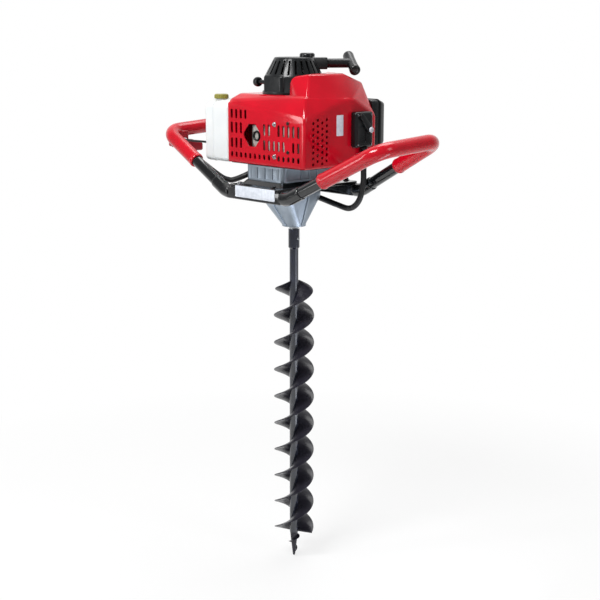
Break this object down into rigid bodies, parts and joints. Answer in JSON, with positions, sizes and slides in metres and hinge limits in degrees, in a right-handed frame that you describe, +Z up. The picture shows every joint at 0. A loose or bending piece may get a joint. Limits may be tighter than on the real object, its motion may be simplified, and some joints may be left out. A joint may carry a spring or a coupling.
{
  "type": "petrol earth auger",
  "caption": "Hand-held petrol earth auger: vented engine with recoil starter and fuel tank in a two-loop handle frame, reduction gear case below and a double-flight soil bit.",
  "frame": {"origin": "on the output axis, at the height of the handle tubes' middle run, where the operator holds it", "axes": "+Z up along the output axis, -Y to the silencer front, +X to the cylinder side"},
  "size_m": [0.7708, 0.3389, 1.2749],
  "materials": {
    "black_paint": "gloss",
    "red_gloss": "gloss",
    "dark_red": "satin",
    "black_plastic": "satin",
    "black_rubber": "matt",
    "cast_aluminium": "as cast",
    "bright_steel": "machined",
    "silencer_steel": "satin",
    "tank_white": "translucent",
    "cap_olive": "satin",
    "filter_foam": "open foam",
    "plug_ceramic": "glazed",
    "starter_cord": "braided"
  },
  "bodies": {
    "frame": {"air_cleaner_case": "black_plastic", "air_cleaner_cover": "black_plastic", "carburettor": "cast_aluminium", "clutch_housing": "cast_aluminium", "counter_bearing": "bright_steel", "crankcase": "cast_aluminium", "cylinder": "cast_aluminium", "engine_base": "black_plastic", "engine_cover": "red_gloss", "exhaust_outlet": "silencer_steel", "filter_element": "filter_foam", "frame_plate": "black_paint", "front_bar": "black_paint", "fuel_tank": "tank_white", "gear_case": "cast_aluminium", "gear_case_lid": "cast_aluminium", "inlet_manifold": "black_plastic", "intake_box": "black_plastic", "left_grip": "red_gloss", "left_loop_tube": "black_paint", "oil_seal": "black_rubber", "output_bearing_lower": "bright_steel", "output_bearing_upper": "bright_steel", "pinion_bearing": "bright_steel", "rear_bar": "black_paint", "recoil_spring": "bright_steel", "right_grip": "red_gloss", "right_loop_tube": "black_paint", "silencer": "silencer_steel", "spark_plug": "plug_ceramic", "spark_plug_cap": "black_plastic", "starter_housing": "black_plastic", "starter_top_cap": "black_plastic", "throttle_cable": "black_rubber", "throttle_housing": "dark_red", "throttle_pin": "bright_steel"},
    "auger": {"output_shaft": "bright_steel", "output_gear": "bright_steel", "bit_shaft": "black_paint", "bit_pin": "bright_steel", "flight_a": "black_paint", "flight_b": "black_paint", "pilot_screw": "black_paint"},
    "countershaft_body": {"countershaft": "bright_steel", "counter_gear": "bright_steel"},
    "drum_body": {"clutch_drum": "bright_steel", "input_pinion": "bright_steel"},
    "crank_body": {"crankshaft": "bright_steel", "flywheel_fan": "cast_aluminium", "starter_cup": "bright_steel", "clutch_rotor": "bright_steel"},
    "throttle_lever_body": {"throttle_lever": "dark_red"},
    "throttle_arm_body": {"throttle_arm": "bright_steel"},
    "starter_grip_body": {"starter_grip": "black_plastic", "starter_rope": "starter_cord"},
    "starter_pulley_body": {"starter_pulley": "black_plastic"},
    "choke_lever_body": {"choke_lever": "black_plastic"},
    "stop_button_body": {"stop_button": "black_plastic"},
    "fuel_cap_body": {"fuel_cap": "cap_olive"},
    "screw_body": {"air_cleaner_screw": "bright_steel"}
  },
  "joints": [
    {"name": "auger_spin", "type": "hinge", "parent": "frame", "child": "auger", "pos_m": [0, 0, 0], "axis": [0, 0, 1], "continuous": true},
    {"name": "countershaft_spin", "type": "hinge", "parent": "frame", "child": "countershaft_body", "pos_m": [0, -0.0375, 0], "axis": [0, 0, 1], "continuous": true},
    {"name": "drum_spin", "type": "hinge", "parent": "frame", "child": "drum_body", "pos_m": [0, 0, 0], "axis": [0, 0, 1], "continuous": true},
    {"name": "crank_spin", "type": "hinge", "parent": "frame", "child": "crank_body", "pos_m": [0, 0, 0], "axis": [0, 0, 1], "continuous": true},
    {"name": "throttle_squeeze", "type": "hinge", "parent": "frame", "child": "throttle_lever_body", "pos_m": [-0.366, -0.052, 0.09578], "axis": [1, 0, 0], "range_deg": [0, 12], "stiffness_Nm_per_rad": 0.4},
    {"name": "throttle_arm_turn", "type": "hinge", "parent": "frame", "child": "throttle_arm_body", "pos_m": [0.068, 0.088, 0.1463], "axis": [0, 0, 1], "range_deg": [0, 60]},
    {"name": "starter_pull", "type": "slide", "parent": "frame", "child": "starter_grip_body", "axis": [0.5299, 0.848, 0], "range_m": [0, 0.5]},
    {"name": "starter_pulley_turn", "type": "hinge", "parent": "frame", "child": "starter_pulley_body", "pos_m": [0, 0, 0.2955], "axis": [0, 0, 1], "range_deg": [0, 755]},
    {"name": "choke_swing", "type": "hinge", "parent": "frame", "child": "choke_lever_body", "pos_m": [0.1543, 0.098, 0.15], "axis": [1, 0, 0], "range_deg": [0, 60]},
    {"name": "stop_push", "type": "slide", "parent": "frame", "child": "stop_button_body", "axis": [1, 0, 0], "range_m": [0, 0.004], "stiffness_N_per_m": 600},
    {"name": "fuel_cap_turn", "type": "hinge", "parent": "frame", "child": "fuel_cap_body", "pos_m": [-0.191, -0.064, 0.213], "axis": [0, 0, 1], "range_deg": [0, 540]},
    {"name": "air_cleaner_screw_turn", "type": "hinge", "parent": "frame", "child": "screw_body", "pos_m": [0.074, 0, 0.159], "axis": [0, 1, 0], "range_deg": [0, 1080]}
  ],
  "couplings": [
    {"joint": "countershaft_spin", "follows": "auger_spin", "ratio": -5},
    {"joint": "drum_spin", "follows": "auger_spin", "ratio": 25},
    {"joint": "throttle_arm_turn", "follows": "throttle_squeeze", "ratio": 5},
    {"joint": "starter_pulley_turn", "follows": "starter_pull", "rad_per_m": 26.316}
  ]
}
